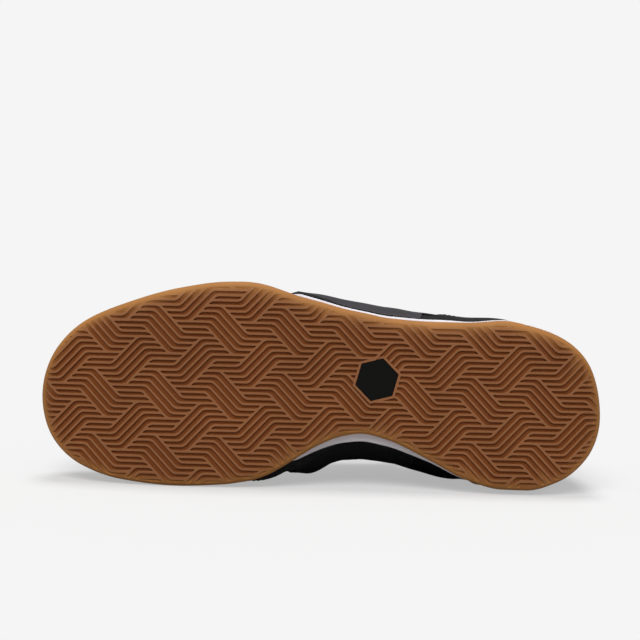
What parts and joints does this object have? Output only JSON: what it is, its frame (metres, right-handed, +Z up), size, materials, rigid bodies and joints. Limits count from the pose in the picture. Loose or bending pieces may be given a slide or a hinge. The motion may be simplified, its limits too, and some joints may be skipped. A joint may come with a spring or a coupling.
{
  "type": "indoor soccer shoe",
  "caption": "Left indoor soccer shoe lying on its medial side: flat gum rubber sole with a six-sided window in the waist, white foam midsole and low black leather upper.",
  "frame": {"origin": "centre of the bounding box's footprint, on the floor", "axes": "+X from toe to heel, -Y out of the tread, +Z up with the shoe lying on its medial side"},
  "size_m": [0.2854, 0.114, 0.1043],
  "materials": {
    "gum_rubber": "matte",
    "dark_resin": "semi-gloss",
    "white_foam": "matte",
    "black_textile": "matte",
    "black_leather": "satin",
    "black_suede": "matte",
    "black_cord": "matte"
  },
  "bodies": {
    "root": {"outsole": "gum_rubber", "hexagon_insert": "dark_resin", "midsole": "white_foam", "insole": "black_textile", "upper": "black_leather", "toe_piece": "black_suede", "heel_counter": "black_suede", "eyestay": "black_leather", "collar_lining": "black_textile", "tongue": "black_leather", "lace": "black_cord"}
  },
  "joints": []
}
